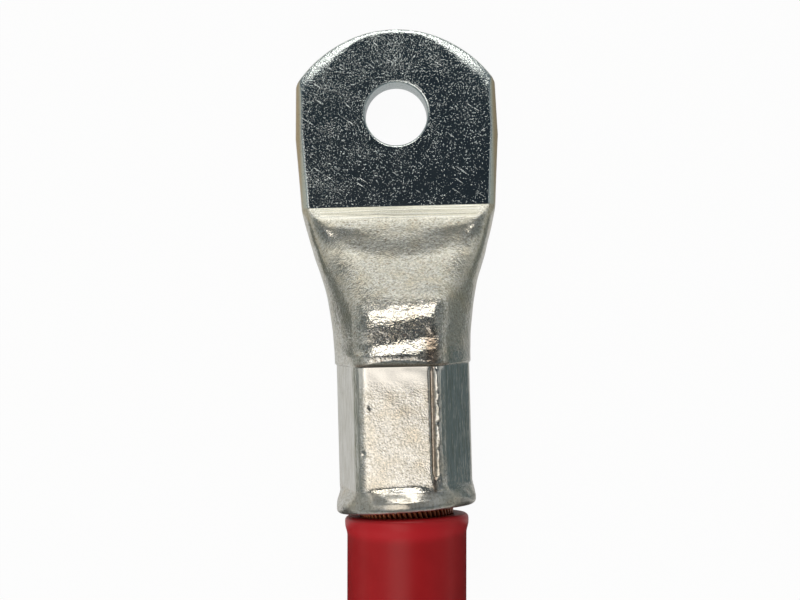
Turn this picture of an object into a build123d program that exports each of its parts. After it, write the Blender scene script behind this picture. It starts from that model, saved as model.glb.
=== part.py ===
# Crimped cable lug on a short end of red cable, in millimetres.
# The lug lies on its back. X runs across the palm, Y runs toward the palm's tip and Z points up.
# The origin is on the axis of the stud hole, in the plane of the palm's underside.
# Every "reach" is measured from that axis toward the cable.
import math
import os

from build123d import *

os.makedirs("parts", exist_ok=True)

# Palm, the flattened end of the tube
stud_hole_diameter = 6.5
stud_hole_edge = 0.25
palm_thickness = 3.6
palm_width = 21.3
palm_widest_reach = 1.9
palm_tip_width = 20.6
palm_heel_width = 20.4
palm_edge_radius = 2.4
palm_tip_length = 8.8
palm_tip_radius = 12.5
palm_tip_edge = 0.3
palm_heel_reach = 9.6
heel_bevel_angle = 45

# Tube that the lug is made from, and the slope between palm and barrel
tube_diameter = 14.0
tube_oval = 0.4
tube_wall = 2.0
slope_length = 16.2
slope_sections = 5

# Hexagonal crimp, its two flash lines and the flared mouth behind it
crimp_length = 11.9
crimp_height = 12.2
crimp_width = 13.75
crimp_flat = 7.9
crimp_turn = 5
crimp_corner_radius = 1.0
crimp_wall = 2.0
crimp_step_length = 0.5
flash_radius = 0.45
flash_inset = 0.25
flash_groove_radius = 0.2
mouth_flare_length = 1.6
mouth_rim_length = 0.8
mouth_rim_edge = 0.4

# Cable
conductor_diameter = 9.4
conductor_tail_length = 1.5
conductor_clearance = 0.03
strand_diameter = 0.75
strand_sides = 8
bare_gap = 0.5
insulation_wall = 1.3
insulation_length = 15.0
insulation_lip = 0.25
insulation_lip_length = 2.4
insulation_edge = 0.35

# Places and shapes that follow from the sizes above
tube_radius = tube_diameter / 2
palm_press_height = 2 * palm_edge_radius
palm_press_drop = palm_edge_radius - palm_thickness / 2
barrel_reach = palm_heel_reach + slope_length
flare_reach = barrel_reach + crimp_length
rim_reach = flare_reach + mouth_flare_length
mouth_reach = rim_reach + mouth_rim_length
insulation_reach = mouth_reach + bare_gap
cable_end_reach = insulation_reach + insulation_length


def palm_station(reach):
    return Plane(origin=(0, -reach, palm_thickness / 2), x_dir=(1, 0, 0), z_dir=(0, -1, 0))


def barrel_station(reach):
    return Plane(origin=(0, -reach, tube_radius), x_dir=(1, 0, 0), z_dir=(0, -1, 0))


def crimp_station(reach):
    turn = math.radians(crimp_turn)
    return Plane(origin=(0, -reach, tube_radius), x_dir=(math.cos(turn), 0, math.sin(turn)), z_dir=(0, -1, 0))


def slope_rise(fraction):
    ease = fraction ** 0.8
    return 3 * ease ** 2 - 2 * ease ** 3


def girth_width(height):
    return math.pi * (tube_diameter - height) / 2 + height


def slope_section(fraction):
    rise = slope_rise(fraction)
    height = palm_press_height + (tube_diameter - palm_press_height) * rise
    heel_spread = palm_heel_width - girth_width(palm_press_height)
    width = girth_width(height) + heel_spread * (1 - fraction) ** 4
    middle = height / 2 - palm_press_drop * (1 - rise)
    return width, height, middle


def hollow_corners(width, height, middle):
    radius = height / 2 - tube_wall
    straight = (width - height) / 2
    corners = []
    for side in (1, -1):
        for turn in (90, 45, 0, -45, -90):
            across = side * (straight + radius * math.cos(math.radians(turn)))
            corners.append((across, middle + side * radius * math.sin(math.radians(turn))))
    return corners


# Crimped section of the barrel
with BuildSketch() as crimp_outline:
    with BuildLine():
        Polyline(
            (crimp_flat / 2, crimp_height / 2),
            (-crimp_flat / 2, crimp_height / 2),
            (-crimp_width / 2, 0),
            (-crimp_flat / 2, -crimp_height / 2),
            (crimp_flat / 2, -crimp_height / 2),
            (crimp_width / 2, 0),
            close=True,
        )
    make_face()
    fillet(crimp_outline.vertices(), crimp_corner_radius)

# Barrel section where the slope ends
with BuildSketch() as barrel_outline:
    SlotOverall(tube_diameter + tube_oval, tube_diameter)

with BuildPart() as lug:
    # Palm as the tube pressed flat, still with full round edges
    with BuildSketch(palm_station(-palm_tip_length)):
        SlotOverall(palm_tip_width, palm_press_height)
    with BuildSketch(palm_station(palm_widest_reach)):
        SlotOverall(palm_width, palm_press_height)
    with BuildSketch(palm_station(palm_heel_reach)):
        SlotOverall(palm_heel_width, palm_press_height)
    loft(ruled=True)

    # Slope, where the pressed tube opens into the round barrel with the same girth
    for index in range(slope_sections):
        fraction = index / slope_sections
        width, height, middle = slope_section(fraction)
        with BuildSketch(Plane.XZ.offset(palm_heel_reach + slope_length * fraction)):
            with Locations((0, middle)):
                SlotOverall(width, height)
    with BuildSketch(barrel_station(barrel_reach)):
        add(barrel_outline.sketch)
    loft()

    # Hollow inside the slope, with flat sides, which closes where the palm begins
    for index in range(slope_sections):
        fraction = index / slope_sections
        width, height, middle = slope_section(fraction)
        with BuildSketch(Plane.XZ.offset(palm_heel_reach + slope_length * fraction)):
            with BuildLine():
                Polyline(*hollow_corners(width, height, middle), close=True)
            make_face()
    with BuildSketch(Plane.XZ.offset(barrel_reach)):
        with BuildLine():
            Polyline(*hollow_corners(tube_diameter + tube_oval, tube_diameter, tube_radius), close=True)
        make_face()
    loft(ruled=True, mode=Mode.SUBTRACT)

    # Crimp, turned a little about the barrel, with the steep step that the die leaves at its upper end
    with BuildSketch(crimp_station(barrel_reach)):
        add(crimp_outline.sketch)
    extrude(amount=crimp_length)
    step_depth = tube_radius - crimp_height / 2
    step_taper = math.degrees(math.atan2(step_depth, crimp_step_length))
    with BuildSketch(barrel_station(barrel_reach)):
        add(barrel_outline.sketch)
    extrude(amount=crimp_step_length, taper=step_taper)

    # Flash line squeezed out where the two die halves meet
    for side in (1, -1):
        corner = Vector(side * crimp_flat / 2, side * crimp_height / 2)
        ridge = corner - corner.normalized() * flash_inset
        groove = Vector(ridge.X - side * (flash_radius + flash_groove_radius), corner.Y)
        with BuildSketch(crimp_station(barrel_reach + crimp_step_length)):
            with Locations(ridge):
                Circle(flash_radius)
        extrude(amount=crimp_length - crimp_step_length)
        with BuildSketch(crimp_station(barrel_reach + crimp_step_length)):
            with Locations(groove):
                Circle(flash_groove_radius)
        extrude(amount=crimp_length - crimp_step_length, mode=Mode.SUBTRACT)

    # Mouth, where the facets flare out until the tube has its full diameter
    flare_angle = math.degrees(math.atan2(step_depth, mouth_flare_length))
    with BuildSketch(crimp_station(flare_reach)):
        add(crimp_outline.sketch)
    extrude(amount=mouth_flare_length, taper=-flare_angle)
    with BuildSketch(barrel_station(flare_reach)):
        Circle(tube_diameter)
        Circle(tube_radius, mode=Mode.SUBTRACT)
    extrude(amount=mouth_flare_length, mode=Mode.SUBTRACT)
    with BuildSketch(barrel_station(rim_reach)):
        Circle(tube_radius)
    extrude(amount=mouth_rim_length)
    chamfer(lug.edges().group_by(Axis.Y)[0], mouth_rim_edge)

    # Bore, round at the mouth and squeezed onto the conductor under the crimp
    with BuildSketch(barrel_station(flare_reach)):
        Circle(tube_radius - tube_wall)
    extrude(amount=mouth_flare_length + mouth_rim_length, mode=Mode.SUBTRACT)
    bore_depth = conductor_tail_length + conductor_clearance
    with BuildSketch(crimp_station(barrel_reach - bore_depth)):
        add(crimp_outline.sketch)
        scale(by=1 - 2 * crimp_wall / crimp_height)
    extrude(amount=bore_depth + crimp_length + mouth_flare_length, mode=Mode.SUBTRACT)

    # Top and bottom of the palm coined flat, with the die's bevel at the heel
    bevel_run = slope_length / 4
    bevel_rise = bevel_run * math.tan(math.radians(heel_bevel_angle))
    with BuildSketch(Plane.YZ):
        with BuildLine():
            Polyline(
                (palm_tip_length + 1, palm_thickness),
                (-palm_heel_reach, palm_thickness),
                (-palm_heel_reach - bevel_run, palm_thickness + bevel_rise),
                (palm_tip_length + 1, palm_thickness + bevel_rise),
                close=True,
            )
        make_face()
    extrude(amount=palm_width, both=True, mode=Mode.SUBTRACT)
    split(bisect_by=Plane.XY, keep=Keep.TOP)

    # Rounded tip
    with BuildSketch(Plane.XY):
        with Locations((0, palm_tip_length)):
            Rectangle(2 * palm_width, palm_tip_radius, align=(Align.CENTER, Align.MAX))
        with Locations((0, palm_tip_length - palm_tip_radius)):
            Circle(palm_tip_radius, mode=Mode.SUBTRACT)
    extrude(amount=palm_thickness, mode=Mode.SUBTRACT)
    tip_rim = lug.edges().filter_by(GeomType.CIRCLE).sort_by_distance((0, palm_tip_length, palm_thickness))[0]
    chamfer(tip_rim, palm_tip_edge)

    # Stud hole, with the broken edge on the side that the punch enters
    Hole(stud_hole_diameter / 2)
    hole_rim = lug.edges().filter_by(GeomType.CIRCLE).sort_by_distance((0, 0, palm_thickness))[0]
    chamfer(hole_rim, stud_hole_edge)

with BuildPart() as conductor:
    # Strands pressed into one hexagon under the crimp
    with BuildSketch(crimp_station(barrel_reach - conductor_tail_length)):
        add(crimp_outline.sketch)
        scale(by=1 - 2 * (crimp_wall + conductor_clearance) / crimp_height)
    extrude(amount=conductor_tail_length + crimp_length + mouth_flare_length)

    # Loose round bundle from the mouth to the cut end, with its outer layer of strands
    ring_radius = (conductor_diameter - strand_diameter) / 2
    strand_count = math.ceil(2 * math.pi * ring_radius / strand_diameter)
    with BuildSketch(barrel_station(flare_reach + conductor_clearance)):
        Circle(ring_radius)
        with PolarLocations(ring_radius, strand_count):
            RegularPolygon(strand_diameter / 2, strand_sides)
    extrude(amount=cable_end_reach - flare_reach - conductor_clearance)

with BuildPart() as insulation:
    # Sleeve with a slightly swollen end where it was cut back
    inner_radius = conductor_diameter / 2 + conductor_clearance
    outer_radius = conductor_diameter / 2 + insulation_wall
    cable_axis = Axis((0, -insulation_reach, tube_radius), (0, -1, 0))
    cut_plane = Plane(origin=cable_axis.position, x_dir=(0, -1, 0), z_dir=(-1, 0, 0))
    with BuildSketch(cut_plane) as sleeve:
        with BuildLine():
            Polyline(
                (0, inner_radius),
                (0, outer_radius + insulation_lip),
                (insulation_lip_length, outer_radius),
                (insulation_length, outer_radius),
                (insulation_length, inner_radius),
                close=True,
            )
        make_face()
        lip_corner = sleeve.vertices().sort_by_distance((0, outer_radius + insulation_lip))[0]
        chamfer(lip_corner, insulation_edge)
    revolve(axis=cable_axis)

lug.part.label = "lug"
conductor.part.label = "conductor"
insulation.part.label = "insulation"
export_step(lug.part, "parts/lug.step")
export_step(conductor.part, "parts/conductor.step")
export_step(insulation.part, "parts/insulation.step")
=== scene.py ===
import math

import bmesh
import bpy
import numpy as np
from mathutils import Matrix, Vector, noise


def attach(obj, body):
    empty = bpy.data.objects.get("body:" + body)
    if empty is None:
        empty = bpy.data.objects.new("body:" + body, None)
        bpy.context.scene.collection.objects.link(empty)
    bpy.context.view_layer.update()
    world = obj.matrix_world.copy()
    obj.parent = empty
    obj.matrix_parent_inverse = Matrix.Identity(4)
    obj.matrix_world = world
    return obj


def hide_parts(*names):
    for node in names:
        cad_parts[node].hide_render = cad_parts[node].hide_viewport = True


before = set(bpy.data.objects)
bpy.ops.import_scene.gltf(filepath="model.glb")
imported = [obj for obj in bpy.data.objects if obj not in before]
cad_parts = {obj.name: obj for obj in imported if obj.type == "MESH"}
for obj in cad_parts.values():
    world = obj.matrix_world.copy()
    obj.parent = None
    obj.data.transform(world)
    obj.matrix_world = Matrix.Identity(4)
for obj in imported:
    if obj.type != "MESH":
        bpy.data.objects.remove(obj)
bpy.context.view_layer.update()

mm = 0.001  # the frame is in metres, every size below is in millimetres
print("frame loaded:", sorted(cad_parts))


def toLinear(hexColour):
    parts = [int(hexColour[i:i + 2], 16) / 255 for i in (1, 3, 5)]
    return [c / 12.92 if c <= 0.04045 else ((c + 0.055) / 1.055) ** 2.4 for c in parts] + [1]


def ease(low, high, value):
    t = np.clip((np.asarray(value, float) - low) / (high - low), 0, 1)
    return t * t * (3 - 2 * t)


def hump(distance, halfWidth):
    return np.exp(-(np.asarray(distance, float) / halfWidth) ** 2)


def grain(points, size, seed):  # smooth noise, one value for each point, about -1 to 1
    shift = Vector((seed * 17.3, seed * 5.1, seed * 9.7))  # each seed reads another part of the noise
    return np.array([noise.noise(Vector(p) / size + shift) for p in points.tolist()])


def emptyTree(owner):  # a material or a world, cleared for its own nodes
    owner.use_nodes = True
    owner.node_tree.nodes.clear()
    return owner.node_tree


def addNode(tree, kind, settings):  # a socket among the settings becomes a link
    node = tree.nodes.new("ShaderNode" + kind)
    for key, value in settings.items():
        if isinstance(value, bpy.types.NodeSocket):
            tree.links.new(value, node.inputs[key])
        elif isinstance(key, int) or key in node.inputs:
            node.inputs[key].default_value = value
        else:
            setattr(node, key, value)
    return node.outputs


def addObject(name, data):
    thing = bpy.data.objects.new(name, data)
    bpy.context.scene.collection.objects.link(thing)
    return thing


weldGap = 0.0005  # points of a mesh closer than this become one


def meshFromRings(name, rings, closeStart=True, closeEnd=True):
    count, around = rings.shape[:2]
    index = np.arange(count * around).reshape(count, around)
    turned = np.roll(index, -1, axis=1)
    faces = np.stack([index[:-1], index[1:], turned[1:], turned[:-1]], axis=-1).reshape(-1, 4).tolist()
    if closeStart:
        faces.append(index[0].tolist())
    if closeEnd:
        faces.append(index[-1][::-1].tolist())
    mesh = bpy.data.meshes.new(name)
    mesh.from_pydata((rings.reshape(-1, 3) * mm).tolist(), [], faces)
    shell = bmesh.new()
    shell.from_mesh(mesh)
    bmesh.ops.remove_doubles(shell, verts=shell.verts, dist=weldGap * mm)
    bmesh.ops.recalc_face_normals(shell, faces=shell.faces)
    shell.to_mesh(mesh)
    shell.free()
    return mesh


def smoothFaces(mesh, sharpDegrees):
    mesh.polygons.foreach_set("use_smooth", [True] * len(mesh.polygons))
    mesh.set_sharp_from_angle(angle=math.radians(sharpDegrees))


def addPiece(name, mesh, sharpDegrees, material):
    smoothFaces(mesh, sharpDegrees)
    mesh.materials.clear()
    mesh.materials.append(material)
    return addObject(name, mesh)


# closed outlines across the tube, from the top middle towards +X and round

arcPoints = 181  # on each half circle
cornerPoints = 13  # on each rounded corner
roundTurns = np.radians(np.arange(0, 91, 15))  # steps of a rounded edge


def outlineLengths(points):
    loop = np.vstack([points, points[:1]])
    return loop, np.concatenate([[0], np.cumsum(np.hypot(*np.diff(loop, axis=0).T))])


def evenOutline(points, shares):
    loop, length = outlineLengths(points)
    return np.column_stack([np.interp(shares * length[-1], length, loop[:, k]) for k in (0, 1)])


def slotOutline(width, height, middle):
    flat, radius = max(width - height, 0) / 2, height / 2
    turn = np.linspace(0, math.pi, arcPoints)
    right = np.column_stack([flat + radius * np.sin(turn), middle + radius * np.cos(turn)])
    left = np.column_stack([-flat - radius * np.sin(turn), middle - radius * np.cos(turn)])
    return np.vstack([[[0, middle + radius]], right, left])


def hexOutline(width, height, flat, corner, turnDegrees, middle):
    corners = [(flat / 2, height / 2), (width / 2, 0), (flat / 2, -height / 2),
               (-flat / 2, -height / 2), (-width / 2, 0), (-flat / 2, height / 2)]
    outline = [(0, height / 2)]
    for index, place in enumerate(corners):
        here = Vector(place)
        before = (Vector(corners[index - 1]) - here).normalized()
        after = (Vector(corners[(index + 1) % 6]) - here).normalized()
        half = before.angle(after) / 2
        centre = here + (before + after).normalized() * (corner / math.sin(half))
        start = here + before * (corner / math.tan(half))
        end = here + after * (corner / math.tan(half))
        for share in np.linspace(0, 1, cornerPoints):
            outline.append(tuple(centre + (start.lerp(end, share) - centre).normalized() * corner))
    x, z = np.array(outline).T
    turn = math.radians(turnDegrees)
    return np.column_stack([x * math.cos(turn) - z * math.sin(turn),
                            x * math.sin(turn) + z * math.cos(turn) + middle])


# lug: a reach is a distance from the stud hole towards the cable

lug = {
    # palm
    "palmThickness": 3.6, "palmWidth": 21.3, "widestReach": 1.9, "tipWidth": 20.6, "heelWidth": 20.4,
    "edgeRadius": 2.4, "tipLength": 8.8, "tipRadius": 12.5, "heelReach": 9.6,
    "rollMiddle": 0.5, "rollShoulder": 1.7, "rollFrom": 2.5, "rollTo": 7.5, "rollTilt": 0.42, "tipEdge": 0.12,
    "seamDepth": 0.12, "seamOpen": (0, 0.1, 0.3, 0.7),
    "holeRadius": 3.25, "holeEdge": 0.25, "holeLead": (0.1, 0.03), "holeFlare": 0.6, "holeClear": 1.0,
    # slope
    "slope": 16.2, "slopeTop": 13.8, "risePower": 0.8, "spreadPower": 4,
    "bevelRun": 1.15, "bevelFade": 3.4, "creaseSoft": 0.025, "foldSoft": 0.12,
    # steepness in degrees along the middle of the top, from the palm's heel to the crimp
    "slopeLine": {9.6: 43, 10.75: 43, 10.9: 40, 12.6: 40, 13.4: 35, 14.6: 35, 15.9: 42, 18.6: 44, 19.4: 38,
                  20.2: 25, 21.2: 18, 21.7: 8, 22.9: 8, 23.5: 21, 24.3: 19, 24.8: 4, 25.1: -6},
    "smile": 0.045, "smileDepth": 1.8, "smileFrom": (10.9, 12.4), "smileTo": (16.0, 19.0),
    "pressShare": 0.75, "pressFrom": (14.5, 21.0), "pressCorner": 2.6, "pressTurn": 3,
    "crestLean": 0.13, "leanFrom": (17.4, 20.4), "leanTo": (23.4, 25.0), "leanHalf": 5,
    "hollowReach": (24.4, 22.0, 19.0, 16.0, 13.0, 10.5), "hollowLeast": 0.2,
    # step, crimp and mouth
    "stepStart": 25.05, "stepEnd": 25.75, "stepBow": 0.5, "stepHalf": 4, "stepBulge": 0.25,
    "tube": 14.0, "wall": 2.0, "crimpEnd": 37.9, "rimReach": 39.4, "mouthReach": 40.3, "rimRadius": 0.5,
    "innerEdge": 0.15, "boreReach": (32.0, 26.0, 24.6),
    "crimpWidth": 13.75, "crimpHeight": 12.2, "crimpFlat": 8.2, "crimpCorner": 1.8, "crimpTurn": 5,
    "flashPlace": 3.9, "flashHeight": 0.2, "flashWidth": 0.4, "flashFrom": (25.6, 26.2), "flashFade": 36.4,
    "grooveAside": 0.6, "grooveDepth": 0.24, "grooveWidth": 0.19,
    "swellEase": 0.04, "mouthSkew": 0.05, "mouthLean": 0.105, "mouthFrom": 33.0,
    # unevenness: the reaches where it comes and where it goes, its height and the width of a grain
    "dents": {
        "slope": ((10.9, 12.5), (24.6, 25.1), 0.035, 1.6),
        "crests": ((18.5, 20.0), (24.6, 25.1), 0.05, 1.3),
        "crimp": ((25.8, 26.2), (37.4, 37.8), 0.02, 1.4),
        "collar": ((37.8, 38.2), (39.4, 39.8), 0.08, 1.1),
        "palm": ((-10.0, -9.0), (9.4, 9.5), 0.004, 4.0),
        "flash": ((25.8, 26.2), (37.4, 37.8), 0.1, 0.6),
    },
    "barrelRadius": 5.6, "roughFlash": (3.3, 0.4), "crimpSideShare": 0.15,
    "upward": 0.5, "crestUpward": 0.6, "palmUpward": 0.9,  # least share of a normal along +Z
    # the flash line runs on into the slope as a shallow fold: place across, height and half width
    "foldFrom": (21.2, 22.8), "foldTo": (24.9, 25.3), "fold": ((3.7, 0.1, 0.5), (2.4, -0.12, 0.55)),
    "nickDepth": 0.12, "nickRadius": 0.17, "nicks": ((-3.24, -29.5), (-3.98, -34.1)),
    # mesh: points around, where they lie closer as a share of the way round, and the rings along the lug
    "around": 288, "closer": {0.088: 3, 0.205: 1.5}, "closerWidth": 0.02, "holePoints": 128,
    "tipShare": 0.12, "tipRings": 26, "palmRings": 44, "bevelRings": 7, "stepRings": 8, "mouthRings": 18,
    "bevelGap": 0.12, "slopeStep": 0.16, "crimpGap": 0.1, "crimpStep": 0.2, "sharpDegrees": 35,
}


def makeLugRings():
    p = lug
    pressHeight = 2 * p["edgeRadius"]
    drop = p["edgeRadius"] - p["palmThickness"] / 2
    axis = p["tube"] / 2
    fine = np.linspace(p["heelReach"], p["stepStart"], 400)

    def climbLine(shift):  # height of the top along the slope, where the shallow band comes earlier by shift
        moved = fine + shift * ease(*p["smileFrom"], fine) * (1 - ease(*p["smileTo"], fine))
        steep = np.tan(np.radians(np.interp(moved, list(p["slopeLine"]), list(p["slopeLine"].values()))))
        climb = np.concatenate([[0], np.cumsum(np.diff(fine) * (steep[1:] + steep[:-1]) / 2)])
        return p["palmThickness"] + climb * (p["slopeTop"] - p["palmThickness"]) / climb[-1]

    shifts = np.linspace(0, p["smileDepth"], 9)
    topLines = [climbLine(shift) for shift in shifts]

    # points lie closer where the flash line runs and along the folds of the palm
    even = np.linspace(0, 1, 4001)
    aside = np.minimum(even % 0.5, 0.5 - even % 0.5)
    weight = np.ones_like(even)
    for place, extra in p["closer"].items():
        weight += extra * hump(aside - place, p["closerWidth"])
    total = np.concatenate([[0], np.cumsum((weight[1:] + weight[:-1]) / 2)])
    shares = np.interp(np.arange(p["around"]) / p["around"] * total[-1], total, even)

    def girthWidth(height):  # width of a slot with the girth of the tube
        return math.pi * (p["tube"] - height) / 2 + height

    def ringAt(reach, outline):
        x, z = outline.T
        return np.column_stack([x, np.full_like(x, -reach), z])

    def softCap(height, cap, soft):  # cuts height off at cap and leaves a small round at the crease
        return cap - soft * np.logaddexp(0, (cap - height) / soft)

    def palmRing(part):  # part 0 at the tip, 1 at the heel
        tipMiddle = p["tipLength"] - p["tipRadius"]
        sideTip = tipMiddle + math.sqrt(p["tipRadius"] ** 2 - (p["tipWidth"] / 2) ** 2)
        side = sideTip * (1 - part) - p["heelReach"] * part
        width = np.interp(side, [-p["heelReach"], -p["widestReach"], p["tipLength"]],
                          [p["heelWidth"], p["palmWidth"], p["tipWidth"]])
        x, z = evenOutline(slotOutline(width, pressHeight, p["palmThickness"] / 2), shares).T
        tip = tipMiddle + np.sqrt(p["tipRadius"] ** 2 - x ** 2)
        y = tip * (1 - part) - p["heelReach"] * part
        # the cut tip is rolled over, more at its shoulders than in the middle
        edge = p["tipRadius"] - np.hypot(x, y - tipMiddle)
        shoulder = ease(p["rollFrom"], p["rollTo"], np.abs(x))
        roll = p["rollMiddle"] + (p["rollShoulder"] - p["rollMiddle"]) * shoulder
        fall = p["rollTilt"] * roll / 2 * np.clip(1 - edge / roll, 0, 1) ** 2
        fall += p["tipEdge"] * np.clip(1 - edge / p["tipEdge"], 0, 1) ** 2
        z = softCap(z, p["palmThickness"] - fall, p["creaseSoft"])
        return np.column_stack([x, y, np.maximum(z, 0)])

    def slopeRing(reach):
        part = (reach - p["heelReach"]) / p["slope"]
        climb = part ** p["risePower"]
        rise = 3 * climb ** 2 - 2 * climb ** 3
        planHeight = pressHeight + (p["tube"] - pressHeight) * rise
        spread = p["heelWidth"] - girthWidth(pressHeight)
        width = girthWidth(planHeight) + spread * (1 - part) ** p["spreadPower"]
        low = -drop * (1 - rise)
        heights = [np.interp(reach, fine, line) for line in topLines]
        top = heights[0]
        # the coined top is cut off flat at the heel, and the cut fades out up the slope
        fade = ease(p["heelReach"], p["heelReach"] + p["bevelFade"], reach)
        soft = p["creaseSoft"] + (p["foldSoft"] - p["creaseSoft"]) * fade
        uncut = top + drop * (1 - fade)
        tubeShape = evenOutline(slotOutline(width, uncut - low, (uncut + low) / 2), shares)
        pressed = hexOutline(width, top - low, p["crimpFlat"], p["pressCorner"], p["pressTurn"],
                             (top + low) / 2)
        mix = p["pressShare"] * ease(*p["pressFrom"], reach)
        ring = ringAt(reach, tubeShape * (1 - mix) + evenOutline(pressed, shares) * mix)
        x, z = ring[:, 0], softCap(ring[:, 2], top, soft)
        # the shallow band curves towards the palm at both sides, and the crests lean a little across
        upper = ease((top + low) / 2, top, z)
        z = z + upper * (np.interp(p["smile"] * x ** 2, shifts, heights) - top)
        lean = p["crestLean"] * ease(*p["leanFrom"], reach) * (1 - ease(*p["leanTo"], reach))
        ring[:, 1] += upper * lean * np.clip(x, -p["leanHalf"], p["leanHalf"])
        ring[:, 2] = np.maximum(z, 0)
        return ring

    crimpShape = hexOutline(p["crimpWidth"], p["crimpHeight"], p["crimpFlat"], p["crimpCorner"],
                            p["crimpTurn"], axis)
    crimpEven = evenOutline(crimpShape, shares)
    girth = outlineLengths(crimpShape)[1][-1]
    flash = np.zeros_like(shares)
    for place in (p["flashPlace"], p["flashPlace"] + girth / 2):
        flash += p["flashHeight"] * hump(shares * girth - place, p["flashWidth"])
        flash -= p["grooveDepth"] * hump(shares * girth - place + p["grooveAside"], p["grooveWidth"])

    def crimpRing(reach):
        outward = crimpEven - (0, axis)
        outward = outward / np.linalg.norm(outward, axis=1)[:, None]
        fade = ease(*p["flashFrom"], reach) * (1 - ease(p["flashFade"], p["crimpEnd"], reach))
        return ringAt(reach, crimpEven + outward * (flash * fade)[:, None])

    def mouthRing(reach, inset=0.0):
        share = np.clip((reach - p["crimpEnd"]) / (p["rimReach"] - p["crimpEnd"]), 0, 1)
        swell = (1 + p["swellEase"]) * share - p["swellEase"] * share ** 3
        tubeShape = evenOutline(slotOutline(p["tube"], p["tube"], axis), shares)
        outline = crimpEven * (1 - swell) + tubeShape * swell
        return ringAt(reach, (outline - (0, axis)) * (1 - inset / axis) + (0, axis))

    # rings from the tip to the mouth
    rings = []
    middle = p["palmThickness"] / 2
    for opening in p["seamOpen"]:  # cut face of the tip, with the seam between the two layers
        ring = palmRing(0)
        ring[:, 2] = middle + (ring[:, 2] - middle) * opening
        ring[:, 1] -= p["seamDepth"] if opening == 0 else 0
        rings.append(ring)
    rings += [palmRing(part) for part in np.linspace(0, p["tipShare"], p["tipRings"])]
    rings += [palmRing(part) for part in np.linspace(p["tipShare"], 1, p["palmRings"])[1:]]
    bevelEnd = p["heelReach"] + p["bevelRun"]
    slopeReaches = np.arange(bevelEnd + p["bevelGap"], p["stepStart"], p["slopeStep"])
    rings += [slopeRing(reach) for reach in np.linspace(p["heelReach"], bevelEnd, p["bevelRings"])[1:]]
    rings += [slopeRing(reach) for reach in slopeReaches]
    last, first = slopeRing(p["stepStart"]), crimpRing(p["stepEnd"])
    stepBegin = p["stepStart"] + p["stepBow"] * np.minimum((last[:, 0] / p["stepHalf"]) ** 2, 1)
    for share in np.linspace(0, 1, p["stepRings"]):
        ring = last * (1 - share) + first * share
        bulge = p["stepBulge"] * math.sin(share * math.pi)  # the upper edge of the step is the rounder one
        ring[:, 1] = -stepBegin - (p["stepEnd"] - stepBegin) * (share + bulge * (1 - share))
        rings.append(ring)
    crimpReaches = np.arange(p["stepEnd"] + p["crimpGap"], p["crimpEnd"] - p["crimpGap"] / 2, p["crimpStep"])
    mouthReaches = np.linspace(p["crimpEnd"], p["mouthReach"] - p["rimRadius"], p["mouthRings"])
    rings += [crimpRing(reach) for reach in crimpReaches]
    rings += [mouthRing(reach) for reach in mouthReaches]
    for turn in roundTurns[1:]:
        rings.append(mouthRing(p["mouthReach"] - p["rimRadius"] * (1 - math.sin(turn)),
                               p["rimRadius"] * (1 - math.cos(turn))))

    # rings of the bore, from the mouth back to the palm
    rings.append(mouthRing(p["mouthReach"], p["wall"] - p["innerEdge"]))
    for reach in (p["mouthReach"] - p["innerEdge"], p["rimReach"], p["crimpEnd"] + p["crimpGap"]):
        rings.append(mouthRing(p["mouthReach"], p["wall"]) * (1, 0, 1) - (0, reach, 0))
    crimpBore = (crimpEven - (0, axis)) * (1 - 2 * p["wall"] / p["crimpHeight"]) + (0, axis)
    rings += [ringAt(reach, crimpBore) for reach in (p["crimpEnd"], *p["boreReach"])]
    for reach in p["hollowReach"]:  # hollow of the slope, which closes at the palm
        ring = slopeRing(reach)
        top, low = ring[:, 2].max(), ring[:, 2].min()
        height = max(top - low - 2 * p["wall"], p["hollowLeast"])
        hollow = slotOutline(np.ptp(ring[:, 0]) - 2 * p["wall"], height, (top + low) / 2)
        rings.append(ringAt(reach, evenOutline(hollow, shares)))

    # the mouth is pushed a little askew
    rings = np.array(rings)
    sway = ease(p["mouthFrom"], p["crimpEnd"], -rings[..., 1])
    rings[..., 1] += sway * (p["mouthSkew"] * rings[..., 0] + p["mouthLean"] * (rings[..., 2] - axis))
    return rings


def dentLug(mesh):  # hand-sized unevenness of pressed and crimped metal
    p = lug
    count = len(mesh.vertices)
    place, normal = np.empty(count * 3), np.empty(count * 3)
    mesh.vertices.foreach_get("co", place)
    mesh.vertices.foreach_get("normal", normal)
    place, normal = place.reshape(-1, 3) / mm, normal.reshape(-1, 3)
    x, reach, up = place[:, 0], -place[:, 1], normal[:, 2]
    outside = np.hypot(x, place[:, 2] - p["tube"] / 2) > p["barrelRadius"]
    upward = up > p["upward"]
    flashX, flashHalf = p["roughFlash"]
    spread = {
        "slope": outside, "crests": up > p["crestUpward"], "collar": outside, "palm": up > p["palmUpward"],
        "crimp": outside * np.clip(up, p["crimpSideShare"], 1),
        "flash": outside * upward * hump(x - flashX, flashHalf),
    }
    dent = np.zeros(count)
    for seed, (zone, (comes, goes, height, size)) in enumerate(p["dents"].items(), start=1):
        amount = ease(*comes, reach) * (1 - ease(*goes, reach)) * spread[zone]
        dent += amount * height * grain(place, size, seed)
    foldRun = ease(*p["foldFrom"], reach) * (1 - ease(*p["foldTo"], reach)) * upward
    for across, height, halfWidth in p["fold"]:
        dent += foldRun * height * hump(x - across, halfWidth)
    for nickX, nickY in p["nicks"]:
        dent -= p["nickDepth"] * hump(np.hypot(x - nickX, place[:, 1] - nickY), p["nickRadius"]) * upward
    place += normal * dent[:, None]
    mesh.vertices.foreach_set("co", (place * mm).ravel())
    mesh.update()


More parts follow.
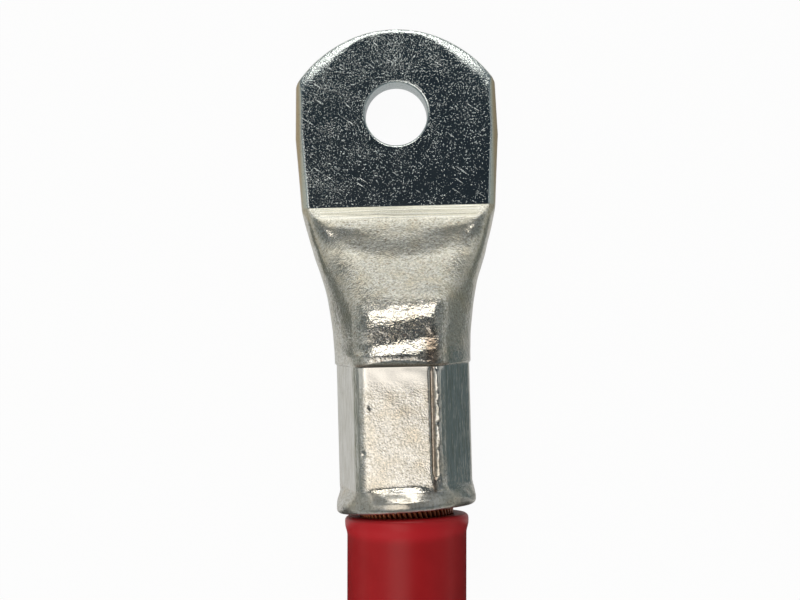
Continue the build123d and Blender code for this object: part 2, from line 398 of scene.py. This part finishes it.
def punchHole(piece):
    p = lug
    top, radius, edge = p["palmThickness"], p["holeRadius"], p["holeEdge"]
    leadOut, leadUp = p["holeLead"]
    profile = [(radius, -p["holeClear"])]
    for turn in roundTurns:
        profile.append((radius + edge * (1 - math.cos(turn)), top - edge * (1 - math.sin(turn))))
    profile += [(radius + edge + leadOut, top + leadUp), (radius + p["holeFlare"], top + p["holeClear"])]
    around = np.linspace(0, 2 * math.pi, p["holePoints"], endpoint=False)
    rings = np.array([[(r * math.cos(a), r * math.sin(a), z) for a in around] for r, z in profile])
    punch = addObject("punch", meshFromRings("punch", rings))
    cut = piece.modifiers.new("cut", "BOOLEAN")
    cut.object, cut.solver, cut.operation = punch, "EXACT", "DIFFERENCE"
    bpy.context.view_layer.update()
    done = bpy.data.meshes.new_from_object(piece.evaluated_get(bpy.context.evaluated_depsgraph_get()))
    piece.modifiers.clear()
    piece.data = done
    bpy.data.objects.remove(punch)
    smoothFaces(done, p["sharpDegrees"])


def startMaterial(name):  # with places on the part in millimetres
    material = bpy.data.materials.new(name)
    tree = emptyTree(material)
    place = addNode(tree, "TexCoord", {})["Object"]
    inMm = addNode(tree, "VectorMath", {"operation": "SCALE", 0: place, "Scale": 1 / mm})[0]
    return material, tree, inMm


tinPlate = {
    "clear": "#E3E3DF", "bluishReflection": "#D9E3E5", "warm": "#DED8C9", "dull": "#CAC8BE", "spotAndShadeBrown": "#8A715A",
    "worn": "#D2C2AA",
    # heights of the skins
    "pitHeight": 0.02, "dentHeight": 0.038, "scratchDepth": -0.008, "grainHeight": 0.05, "fineHeight": 0.03,
    "crinkleHeight": 0.008, "sparkleHeight": 0.03, "lineHeight": 0.03, "streakHeight": 0.02,
    # how much of a skin, or of the stain spots and painted shade, there is
    "patchShare": 0.75, "patchLeast": 0.14, "tipShare": 1.1, "steepShare": 0.65, "steepLeast": 0.35,
    "collarCalm": -0.6, "flatMost": 1.05, "spotAndShadeStrength": 0.65,
    # roughness of bright tin, and what frost, the collar and uneven polish add to it
    "bright": 0.09, "frostRough": 0.09, "collarRough": 0.12, "polishRough": 0.08,
}


# electroplated tin on pressed copper: a coined and pitted mirror on the palm, frosty where the tube opens
def tinnedCopper():
    p = tinPlate
    material, tree, inMm = startMaterial("tinnedCopper")
    x, y, z = addNode(tree, "SeparateXYZ", {0: inMm})
    part = {"x": x, "y": y, "z": z}

    # width of a grain in millimetres, detail, and for drawn-out grains the squeeze of each axis and a turn;
    # real pits, frost, scratches and fine grain are some hundredths wide, drawn this coarse so that they show
    grains = {
        "cloud": (2.2, 3), "stain": (1.8, 3), "polish": (0.8, 3), "pits": (0.14, 2), "dents": (0.17, 2),
        "spots": (0.26, 2), "frost": (0.24, 3), "coarseGrain": (0.42, 3), "fineGrain": (0.16, 2),
        "crinkle": (0.6, 3), "sparkle": (0.17, 3),
        "lines": (0.14, 2, (1, 0.06, 1), 0), "streaks": (0.2, 2, (0.02, 1, 1), 0),
        "scratch": (0.16, 1, (1, 0.05, 1), 38), "crossScratch": (0.16, 1, (1, 0.06, 1), -55),
    }
    for name, (width, detail, *drawn) in grains.items():
        vector = inMm
        if drawn:
            turned = addNode(tree, "Mapping", {0: inMm, "Rotation": (0, 0, math.radians(drawn[1]))})[0]
            vector = addNode(tree, "Mapping", {0: turned, "Scale": drawn[0]})[0]
        part[name] = addNode(tree, "TexNoise", {"Vector": vector, "Scale": 1 / width, "Detail": detail})[0]

    # each climbs from 0 to 1 between two values of its source, places are in millimetres
    ramps = {
        "palm": ("y", -9.65, -9.5), "palmAndBevel": ("y", -11.2, -10.7), "beforeCrimp": ("y", -25.8, -25.6),
        "beforeMouth": ("y", -37.9, -37.6), "topFlat": ("z", 12.3, 12.8), "tip": ("y", -9.0, 8.0),
        "steep": ("y", -14.0, -16.5), "underStep": ("y", -28.8, -26.5),
        "patchy": ("cloud", 0.3, 0.75), "dented": ("dents", 0.61, 0.8), "warm": ("stain", 0.4, 0.75),
        "frosty": ("frost", 0.4, 0.65), "spotty": ("spots", 0.6, 0.74), "lined": ("lines", 0.4, 0.65),
        "streaky": ("streaks", 0.36, 0.58),
        "scored": ("scratch", 0.70, 0.80), "crossScored": ("crossScratch", 0.72, 0.82),
        "grooveLeft": ("x", 2.45, 2.73), "grooveRight": ("x", 2.83, 3.15),
        "foldLeft": ("x", 1.7, 2.6), "foldRight": ("x", 3.0, 3.9), "foldRun": ("y", -21.6, -23.4),
        "upperHalf": ("z", 9.0, 10.0), "stepFoot": ("y", -25.2, -25.6), "stepEnd": ("y", -25.7, -25.8),
        "rightEdge": ("x", 9.8, 10.3), "leftEdge": ("x", -9.8, -10.3),
        "bevelLeft": ("x", -8.8, -7.6), "bevelRight": ("x", 8.8, 7.6),
    }
    for name, (source, low, high) in ramps.items():
        part[name] = addNode(tree, "MapRange", {"interpolation_type": "SMOOTHSTEP", "Value": part[source],
                                                "From Min": low, "From Max": high})[0]

    sums = {
        # zones of the lug
        "heelBand": ("SUBTRACT", "palmAndBevel", "palm"),
        "bevelSpan": ("MULTIPLY", "bevelLeft", "bevelRight"),
        "bevel": ("MULTIPLY", "heelBand", "bevelSpan"),
        "coined": ("ADD", "palm", "bevel"),
        "crimp": ("SUBTRACT", "beforeMouth", "beforeCrimp"),
        "crimpFlat": ("MULTIPLY", "crimp", "topFlat"),
        "facet": ("SUBTRACT", "crimp", "crimpFlat"),
        "formed": ("SUBTRACT", 1, "coined"),
        "satin": ("SUBTRACT", "formed", "crimp"),
        "frosted": ("ADD", "satin", "crimpFlat"),
        "collar": ("SUBTRACT", 1, "beforeMouth"),
        # skins, with heights in millimetres
        "patchAmount": ("MULTIPLY_ADD", "patchy", p["patchShare"], p["patchLeast"]),
        "palmAmount": ("MULTIPLY_ADD", "tip", p["tipShare"], "patchAmount"),
        "pitSkin": ("MULTIPLY", "pits", p["pitHeight"]),
        "dentSkin": ("MULTIPLY_ADD", "dented", p["dentHeight"], "pitSkin"),
        "knocked": ("MULTIPLY", "dentSkin", "palmAmount"),
        "scratches": ("MAXIMUM", "scored", "crossScored"),
        "palmSkin": ("MULTIPLY_ADD", "scratches", p["scratchDepth"], "knocked"),
        "fineSkin": ("MULTIPLY", "fineGrain", p["fineHeight"]),
        "grainSkin": ("MULTIPLY_ADD", "coarseGrain", p["grainHeight"], "fineSkin"),
        "slopeAmount": ("MULTIPLY_ADD", "steep", p["steepShare"], p["steepLeast"]),
        "collarAmount": ("MULTIPLY_ADD", "collar", p["collarCalm"], 1),
        "grainAmount": ("MULTIPLY", "slopeAmount", "collarAmount"),
        "slopeSkin": ("MULTIPLY", "grainSkin", "grainAmount"),
        "sparkleSkin": ("MULTIPLY", "sparkle", p["sparkleHeight"]),
        "crinkleSkin": ("MULTIPLY_ADD", "crinkle", p["crinkleHeight"], "sparkleSkin"),
        "flatAmount": ("SUBTRACT", p["flatMost"], "underStep"),
        "flatSkin": ("MULTIPLY", "crinkleSkin", "flatAmount"),
        "facetSkin": ("MULTIPLY", "lines", p["lineHeight"]),
        "bevelSkin": ("MULTIPLY", "streaks", p["streakHeight"]),
        # how far each colour covers the clear tin
        # the upper end of the crimp flat is kept clear of stain and frost colour: a painted highlight
        "paintedHighlightEnd": ("MULTIPLY", "underStep", "crimpFlat"),
        "frostedBody": ("SUBTRACT", "frosted", "paintedHighlightEnd"),
        "warmth": ("MULTIPLY", "warm", "frostedBody"),
        "frostDull": ("MULTIPLY", "frosty", "frostedBody"),
        "lineDull": ("MULTIPLY", "lined", "facet"),
        "bevelDull": ("MULTIPLY", "streaky", "bevel"),
        "twoDulls": ("ADD", "frostDull", "lineDull"),
        "dullness": ("ADD", "twoDulls", "bevelDull"),
        "spotted": ("MULTIPLY", "spotty", "satin"),
        # the brown in the groove beside the flash line and in the fold of the slope is painted shade
        "groove": ("SUBTRACT", "grooveLeft", "grooveRight"),
        "grooveShade": ("MULTIPLY", "groove", "crimpFlat"),
        "fold": ("SUBTRACT", "foldLeft", "foldRight"),
        "foldTop": ("MULTIPLY", "fold", "upperHalf"),
        "foldStart": ("MULTIPLY", "foldTop", "foldRun"),
        "foldShade": ("MULTIPLY", "foldStart", "beforeCrimp"),
        # the brown on the step face down to the crimp flat is a painted shadow
        "step": ("SUBTRACT", "stepFoot", "stepEnd"),
        "stepShade": ("MULTIPLY", "step", "topFlat"),
        # the grime colour marks real stain spots and also paints shade in the groove, the fold and on the
        # step
        "grooveOrFoldShade": ("MAXIMUM", "grooveShade", "foldShade"),
        "threeShades": ("MAXIMUM", "grooveOrFoldShade", "stepShade"),
        "spotsOrShade": ("MAXIMUM", "threeShades", "spotted"),
        "spotsAndShade": ("MULTIPLY", "spotsOrShade", p["spotAndShadeStrength"]),
        "bothEdges": ("ADD", "leftEdge", "rightEdge"),
        "wear": ("MULTIPLY", "bothEdges", "palm"),
        # roughness
        "sheen": ("MULTIPLY_ADD", "frosted", p["frostRough"], p["bright"]),
        "collarSheen": ("MULTIPLY_ADD", "collar", p["collarRough"], "sheen"),
        "roughness": ("MULTIPLY_ADD", "polish", p["polishRough"], "collarSheen"),
    }
    for name, (operation, *values) in sums.items():
        terms = {number: part.get(value, value) for number, value in enumerate(values)}
        part[name] = addNode(tree, "Math", {"operation": operation, **terms})[0]

    height = 0.0
    skinZones = {"palmSkin": "palm", "bevelSkin": "bevel", "slopeSkin": "satin", "flatSkin": "crimpFlat",
                 "facetSkin": "facet"}
    for skin, zone in skinZones.items():
        height = addNode(tree, "Math", {"operation": "MULTIPLY_ADD", 0: part[skin], 1: part[zone],
                                        2: height})[0]
    bump = addNode(tree, "Bump", {"Distance": mm, "Strength": 1.0, "Height": height})[0]
    colour = toLinear(p["clear"])
    # on the palm the bluish tint is a painted reflection of a cool surround
    covers = {"palm": "bluishReflection", "warmth": "warm", "dullness": "dull", "spotsAndShade": "spotAndShadeBrown", "wear": "worn"}
    for cover, shade in covers.items():  # sockets 6 and 7 are the two colours of a mix
        colour = addNode(tree, "Mix", {"data_type": "RGBA", 0: part[cover], 6: colour,
                                       7: toLinear(p[shade])})[2]
    shader = addNode(tree, "BsdfPrincipled", {"Metallic": 1.0, "Base Color": colour, "Normal": bump,
                                              "Roughness": part["roughness"]})[0]
    addNode(tree, "OutputMaterial", {0: shader})
    return material


lugMesh = meshFromRings("tinnedLug", makeLugRings(), closeStart=False)
lugPiece = addPiece("tinnedLug", lugMesh, lug["sharpDegrees"], tinnedCopper())
dentLug(lugPiece.data)
punchHole(lugPiece)
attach(lugPiece, "root")
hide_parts("lug")
print("lug made:", len(lugPiece.data.polygons), "faces")


# cable

cable = {
    "cutReach": 40.9, "end": 55.6, "cutLean": 0.09, "leanFade": (41.0, 46.0),
    "bend": 0.028, "bendStart": 42.0,
    # sleeve
    "innerRadius": 4.73, "outerRadius": 6.0, "boreEdge": 0.12, "boreLip": (0.05, 0.02), "edge": 0.45,
    "lip": 0.22, "lipStart": 0.7, "lipReach": 41.7, "lipFade": 42.8, "seamReach": 43.9,
    # strands
    "coreRadius": 4.7, "strand": 0.5, "layerShare": 0.93, "lay": 95.0, "wobble": 0.03, "start": 37.8,
    # mesh
    "sleevePoints": 128, "sleeveRings": 50, "strandPoints": 8, "strandRings": 14, "sharpDegrees": 50,
}


def bendCable(rings):  # the cable leans a little towards -X behind the lug, and its cut is a little oblique
    reach = -rings[..., 1]
    oblique = 1 - ease(*cable["leanFade"], reach)
    rings[..., 0] -= cable["bend"] * np.clip(reach - cable["bendStart"], 0, None)
    rings[..., 1] += cable["cutLean"] * (rings[..., 2] - lug["tube"] / 2) * oblique
    return rings


def makeSleeve():  # its profile runs from the bore round the cut, along the outside and back into the bore
    p = cable
    axis = lug["tube"] / 2
    lipRadius = p["outerRadius"] + p["lip"]
    lipBack, lipOut = p["boreLip"]
    profile = [(p["seamReach"], p["innerRadius"]), (p["cutReach"] + lipBack, p["innerRadius"] + lipOut),
               (p["cutReach"], p["innerRadius"] + p["boreEdge"])]
    for turn in roundTurns[::-1]:
        profile.append((p["cutReach"] + p["edge"] * (1 - math.sin(turn)),
                        lipRadius - p["edge"] * (1 - math.cos(turn))))
    for reach in np.linspace(p["cutReach"] + p["lipStart"], p["end"], p["sleeveRings"]):
        profile.append((reach, p["outerRadius"] + p["lip"] * (1 - ease(p["lipReach"], p["lipFade"], reach))))
    profile += [(p["end"], p["innerRadius"]), (p["seamReach"], p["innerRadius"])]
    around = np.linspace(0, 2 * math.pi, p["sleevePoints"], endpoint=False)
    rings = np.array([[(r * math.sin(a), -reach, axis + r * math.cos(a)) for a in around]
                      for reach, r in profile])
    return meshFromRings("redSleeve", bendCable(rings), closeStart=False, closeEnd=False)


def makeStrands():  # layers of strands, which make one turn over the lay
    p = cable
    axis = lug["tube"] / 2
    strandRings = []
    reaches = np.linspace(p["start"], p["end"], p["strandRings"])
    corners = np.linspace(0, 2 * math.pi, p["strandPoints"], endpoint=False)
    radius = p["strand"] / 2
    layer = p["coreRadius"] - radius
    while layer > 0:
        count = max(int(2 * math.pi * layer / p["strand"]), 1)
        for number in range(count):
            turn = 2 * math.pi * (number / count + reaches / p["lay"])
            off = layer + p["wobble"] * noise.noise(Vector((number * 3.1, layer, 0.5)))
            centres = zip(reaches, off * np.sin(turn), axis + off * np.cos(turn))
            rings = np.array([[(x + radius * math.cos(c), -reach, z + radius * math.sin(c)) for c in corners]
                              for reach, x, z in centres])
            strandRings.append(bendCable(rings))
        layer -= p["strand"] * p["layerShare"]
    return strandRings


def joinMeshes(name, meshes):
    joined = bmesh.new()
    for mesh in meshes:
        joined.from_mesh(mesh)
        bpy.data.meshes.remove(mesh)
    result = bpy.data.meshes.new(name)
    joined.to_mesh(result)
    joined.free()
    return result


softPvc = {
    "deep": "#970F15", "light": "#AA191F", "lip": "#B41C24", "roughness": 0.38, "specular": 0.38,
    "cloud": 2.5, "skin": 0.25, "skinStrength": 0.01, "lipFrom": -43.0, "lipTo": -42.0,
}


def redPvc():  # extruded soft PVC: deep red with a dull sheen and a faint orange peel, lighter at the lip
    p = softPvc
    material, tree, inMm = startMaterial("extrudedRedPvc")
    cloud = addNode(tree, "TexNoise", {"Vector": inMm, "Scale": 1 / p["cloud"], "Detail": 3})[0]
    body = addNode(tree, "Mix", {"data_type": "RGBA", 0: cloud, 6: toLinear(p["deep"]),
                                 7: toLinear(p["light"])})[2]
    along = addNode(tree, "SeparateXYZ", {0: inMm})["Y"]
    lip = addNode(tree, "MapRange", {"interpolation_type": "SMOOTHSTEP", "Value": along,
                                     "From Min": p["lipFrom"], "From Max": p["lipTo"]})[0]
    colour = addNode(tree, "Mix", {"data_type": "RGBA", 0: lip, 6: body, 7: toLinear(p["lip"])})[2]
    skin = addNode(tree, "TexNoise", {"Vector": inMm, "Scale": 1 / p["skin"], "Detail": 2})[0]
    bump = addNode(tree, "Bump", {"Distance": mm, "Strength": p["skinStrength"], "Height": skin})[0]
    shader = addNode(tree, "BsdfPrincipled", {"Roughness": p["roughness"], "Base Color": colour,
                                              "Specular IOR Level": p["specular"], "Normal": bump})[0]
    addNode(tree, "OutputMaterial", {0: shader})
    return material


copperWire = {"bright": "#B87352", "brown": "#6E3A26", "stain": 0.6, "roughness": 0.3}


def bareCopper():  # drawn copper wire: bright metal, stained brown in patches
    p = copperWire
    material, tree, inMm = startMaterial("bareCopperWire")
    stain = addNode(tree, "TexNoise", {"Vector": inMm, "Scale": 1 / p["stain"], "Detail": 2})[0]
    colour = addNode(tree, "Mix", {"data_type": "RGBA", 0: stain, 6: toLinear(p["bright"]),
                                   7: toLinear(p["brown"])})[2]
    shader = addNode(tree, "BsdfPrincipled", {"Metallic": 1.0, "Roughness": p["roughness"],
                                              "Base Color": colour})[0]
    addNode(tree, "OutputMaterial", {0: shader})
    return material


sleeve = addPiece("redSleeve", makeSleeve(), cable["sharpDegrees"], redPvc())
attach(sleeve, "root")
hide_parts("insulation")
print("sleeve made:", len(sleeve.data.polygons), "faces")

strandMesh = joinMeshes("copperStrands", [meshFromRings("strand", rings) for rings in makeStrands()])
strands = addPiece("copperStrands", strandMesh, cable["sharpDegrees"], bareCopper())
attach(strands, "root")
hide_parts("conductor")
print("strands made:", len(strands.data.polygons), "faces")


# stage

stage = {
    "floorHalf": 1500, "floorDrop": 0.03, "floor": "#D4D4D2", "glow": 0.96, "mirrorGlow": 0.3,
    "cardHeight": 1, "lampAim": (0, -18, 8), "lampFar": 600,
}


def addSheet(name, x0, y0, x1, y1, z, material):
    mesh = bpy.data.meshes.new(name)
    corners = ((x0, y0), (x1, y0), (x1, y1), (x0, y1))
    mesh.from_pydata([(x * mm, y * mm, z * mm) for x, y in corners], [], [(0, 1, 2, 3)])
    mesh.materials.append(material)
    return addObject(name, mesh)


# matte white paper: plain white to the eye, keeps the part's shadow, and is dimmer in the metal
paper = bpy.data.materials.new("whitePaper")
tree = emptyTree(paper)
rays = addNode(tree, "LightPath", {})
matte = addNode(tree, "BsdfDiffuse", {"Color": toLinear(stage["floor"])})[0]
glow = addNode(tree, "Emission", {"Color": (1, 1, 1, 1), "Strength": 1.0})[0]
mirrored = addNode(tree, "Math", {"operation": "MULTIPLY", 0: rays["Is Glossy Ray"],
                                  1: stage["mirrorGlow"]})[0]
seen = addNode(tree, "Math", {"operation": "MULTIPLY_ADD", 0: rays["Is Camera Ray"], 1: stage["glow"],
                              2: mirrored})[0]
mixed = addNode(tree, "MixShader", {0: seen, 1: matte, 2: glow})[0]
addNode(tree, "OutputMaterial", {0: mixed})
half = stage["floorHalf"]
floor = addSheet("floor", -half, -half, half, half, -stage["floorDrop"], paper)
print("floor laid")


# light

skyColours = {  # by height: 0 is the horizon and 1 is overhead
    "side": {0.0: "#7C7D78", 0.10: "#646661", 0.30: "#525655", 0.60: "#4E5356", 0.85: "#262E33",
             1.0: "#13191E"},
    "front": {0.0: "#FFFCF2", 0.06: "#E6E3D8", 0.12: "#C8C6BE", 0.20: "#828380", 0.30: "#484B4A",
              0.50: "#505354", 0.60: "#5A5E60", 0.70: "#55595C", 0.80: "#262E33", 1.0: "#13191E"},
}
skyLight = {"frontFrom": 0.4, "frontTo": 0.88, "strength": 2.0}  # the front is towards +Y

world = bpy.data.worlds.new("studio")
bpy.context.scene.world = world
tree = emptyTree(world)
towards = addNode(tree, "SeparateXYZ", {0: addNode(tree, "TexCoord", {})["Generated"]})
front = addNode(tree, "MapRange", {0: towards["Y"], "From Min": skyLight["frontFrom"],
                                   "From Max": skyLight["frontTo"]})[0]
skies = {}
for name, stops in skyColours.items():
    skies[name] = addNode(tree, "ValToRGB", {0: towards["Z"]})[0]
    elements = skies[name].node.color_ramp.elements
    for number, (place, colour) in enumerate(stops.items()):
        stop = elements[number] if number < 2 else elements.new(place)  # a new ramp has two stops
        stop.position, stop.color = place, toLinear(colour)
sky = addNode(tree, "Mix", {"data_type": "RGBA", 0: front, 6: skies["side"], 7: skies["front"]})[2]
studio = addNode(tree, "Background", {"Color": sky, "Strength": skyLight["strength"]})[0]
white = addNode(tree, "Background", {"Color": (1, 1, 1, 1), "Strength": 1.0})[0]
rays = addNode(tree, "LightPath", {})
seen = addNode(tree, "MixShader", {0: rays["Is Camera Ray"], 1: studio, 2: white})[0]
addNode(tree, "OutputWorld", {0: seen})

softboxes = {  # tilt from overhead towards +Y, turn aside towards +X, width, length, glow and colour
    "keyStrip": (44, 0, 520, 120, 5.2, "#FFF8EE"),
    "overheadBox": (-15, -15, 420, 300, 1.55, "#FFF6EC"),
    "leftBox": (0, -46, 200, 500, 0.5, "#FFFAF0"),
    "rightBox": (0, 42, 250, 500, 0.3, "#FFFAF0"),
    "backBox": (-62, -15, 600, 250, 5.0, "#FFFFFF"),  # doesn't show in the metal
}
for name, (tilt, aside, width, length, glow, colour) in softboxes.items():
    lamp = bpy.data.lights.new(name, "AREA")
    lamp.shape, lamp.size, lamp.size_y = "RECTANGLE", width * mm, length * mm
    lamp.energy = glow * math.pi * lamp.size * lamp.size_y
    lamp.color = toLinear(colour)[:3]
    box = addObject(name, lamp)
    t, a = math.radians(tilt), math.radians(aside)
    away = Vector((math.sin(a), math.sin(t) * math.cos(a), math.cos(t) * math.cos(a)))
    box.location = Vector(stage["lampAim"]) * mm + away * stage["lampFar"] * mm
    box.rotation_euler = away.to_track_quat("Z", "Y").to_euler()
    box.visible_glossy = name != "backBox"

# grey cards lying beside the part, seen only in its shiny sides: two corners and a colour
cards = {
    "crimpCard": (13.4, -42, 70, -24, "#6C7A7E"), "rightCard": (11, -10, 60, 70, "#B8B8AC"),
    "leftCard": (-60, -10, -11, 70, "#D0CCBE"), "farCard": (-80, -44, -30, -24, "#868B80"),
    "slopeRightCard": (14, -24, 60, -10, "#868B86"), "slopeLeftCard": (-60, -24, -15, -10, "#767B76"),
    "cableRightCard": (7, -75, 70, -44, "#484848"), "cableLeftCard": (-70, -75, -7, -44, "#484848"),
}
for name, (x0, y0, x1, y1, shade) in cards.items():
    board = bpy.data.materials.new(name)
    tree = emptyTree(board)
    matte = addNode(tree, "BsdfDiffuse", {"Color": toLinear(shade)})[0]
    addNode(tree, "OutputMaterial", {0: matte})
    card = addSheet(name, x0, y0, x1, y1, stage["cardHeight"], board)
    card.visible_camera = card.visible_shadow = card.visible_diffuse = False
print("light set:", len(softboxes), "softboxes and", len(cards), "cards")


# camera, straight above

cameraSet = {"place": (-0.106, -19.339, 122.3), "roll": -1.5, "lens": 51.46, "sensor": 36.0,
             "clipStart": 10, "clipEnd": 10000}
cameraData = bpy.data.cameras.new("camera")
cameraData.lens, cameraData.sensor_width = cameraSet["lens"], cameraSet["sensor"]
cameraData.sensor_fit = "HORIZONTAL"
cameraData.clip_start, cameraData.clip_end = cameraSet["clipStart"] * mm, cameraSet["clipEnd"] * mm
camera = addObject("camera", cameraData)
camera.location = Vector(cameraSet["place"]) * mm
camera.rotation_euler = (0, 0, math.radians(cameraSet["roll"]))
bpy.context.scene.camera = camera
bpy.context.scene.view_settings.view_transform = "Standard"
print("camera set")
